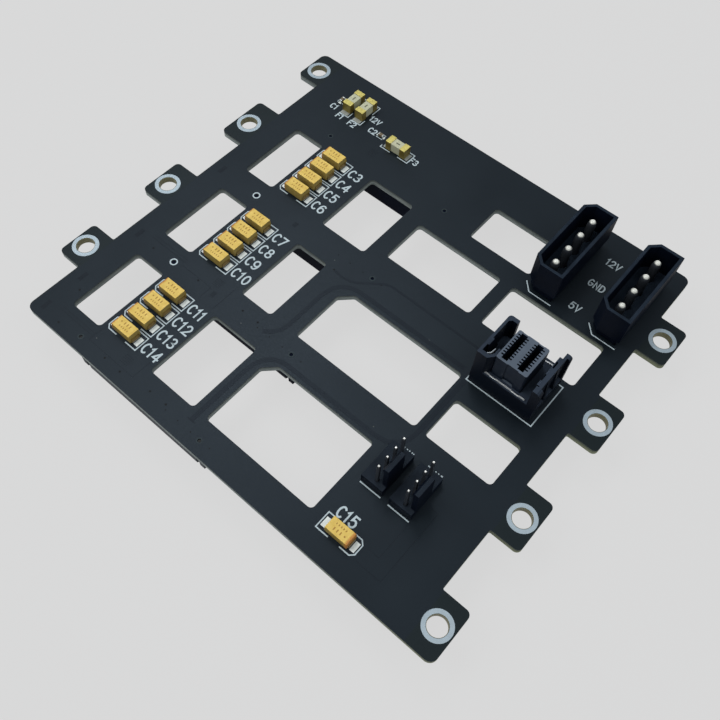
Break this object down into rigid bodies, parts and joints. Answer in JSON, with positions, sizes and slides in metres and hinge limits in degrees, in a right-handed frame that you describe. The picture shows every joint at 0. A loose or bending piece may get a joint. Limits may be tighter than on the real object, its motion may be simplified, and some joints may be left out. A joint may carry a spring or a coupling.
{
  "type": "drive backplane board",
  "caption": "Flat black circuit board with air windows and side fixing tabs that joins a row of disk drives to power plugs, a data cable and fans.",
  "frame": {"origin": "midway between the two outer holes of the left tabs, on the board's solder side face", "axes": "+X across the board from the left tabs to the right ones, +Y along the tabs towards the power headers' end, +Z out of the component side"},
  "size_m": [0.1229, 0.1074, 0.0222],
  "materials": {
    "solder_mask": "smooth matt black lacquer over glass laminate",
    "capacitor_resin": "satin yellow resin",
    "tinned_strap": "satin tin plate",
    "fuse_ceramic": "matt off-white ceramic",
    "gilt_cap": "bright gold plate",
    "chip_ceramic": "matt brown ceramic",
    "black_nylon": "satin black moulding",
    "socket_plastic": "satin black moulding",
    "block_plastic": "satin black moulding",
    "bright_pin": "bright tin plate",
    "gilt_contact": "gold plated spring",
    "plate_metal": "stamped steel"
  },
  "bodies": {
    "root": {"circuit_board": "solder_mask", "capacitor_case_1": "capacitor_resin", "capacitor_terminals_1": "tinned_strap", "capacitor_case_2": "capacitor_resin", "capacitor_terminals_2": "tinned_strap", "capacitor_case_3": "capacitor_resin", "capacitor_terminals_3": "tinned_strap", "capacitor_case_4": "capacitor_resin", "capacitor_terminals_4": "tinned_strap", "capacitor_case_5": "capacitor_resin", "capacitor_terminals_5": "tinned_strap", "capacitor_case_6": "capacitor_resin", "capacitor_terminals_6": "tinned_strap", "capacitor_case_7": "capacitor_resin", "capacitor_terminals_7": "tinned_strap", "capacitor_case_8": "capacitor_resin", "capacitor_terminals_8": "tinned_strap", "capacitor_case_9": "capacitor_resin", "capacitor_terminals_9": "tinned_strap", "capacitor_case_10": "capacitor_resin", "capacitor_terminals_10": "tinned_strap", "capacitor_case_11": "capacitor_resin", "capacitor_terminals_11": "tinned_strap", "capacitor_case_12": "capacitor_resin", "capacitor_terminals_12": "tinned_strap", "capacitor_case_13": "capacitor_resin", "capacitor_terminals_13": "tinned_strap", "fuse_body_1": "fuse_ceramic", "fuse_caps_1": "gilt_cap", "fuse_body_2": "fuse_ceramic", "fuse_caps_2": "gilt_cap", "fuse_body_3": "fuse_ceramic", "fuse_caps_3": "gilt_cap", "chip_body_1": "chip_ceramic", "chip_ends_1": "tinned_strap", "chip_body_2": "chip_ceramic", "chip_ends_2": "tinned_strap", "power_header_housing_1": "black_nylon", "power_header_pins_1": "bright_pin", "power_header_housing_2": "black_nylon", "power_header_pins_2": "bright_pin", "fan_header_base_1": "black_nylon", "fan_header_pins_1": "bright_pin", "fan_header_base_2": "black_nylon", "fan_header_pins_2": "bright_pin", "data_socket_housing": "socket_plastic", "data_socket_contact_block": "block_plastic", "data_socket_contacts": "gilt_contact", "data_socket_plates": "plate_metal", "data_socket_latch_spring": "plate_metal", "drive_socket_housing_1": "black_nylon", "drive_socket_contacts_1": "gilt_contact", "drive_socket_housing_2": "black_nylon", "drive_socket_contacts_2": "gilt_contact", "drive_socket_housing_3": "black_nylon", "drive_socket_contacts_3": "gilt_contact", "drive_socket_housing_4": "black_nylon", "drive_socket_contacts_4": "gilt_contact"}
  },
  "joints": []
}
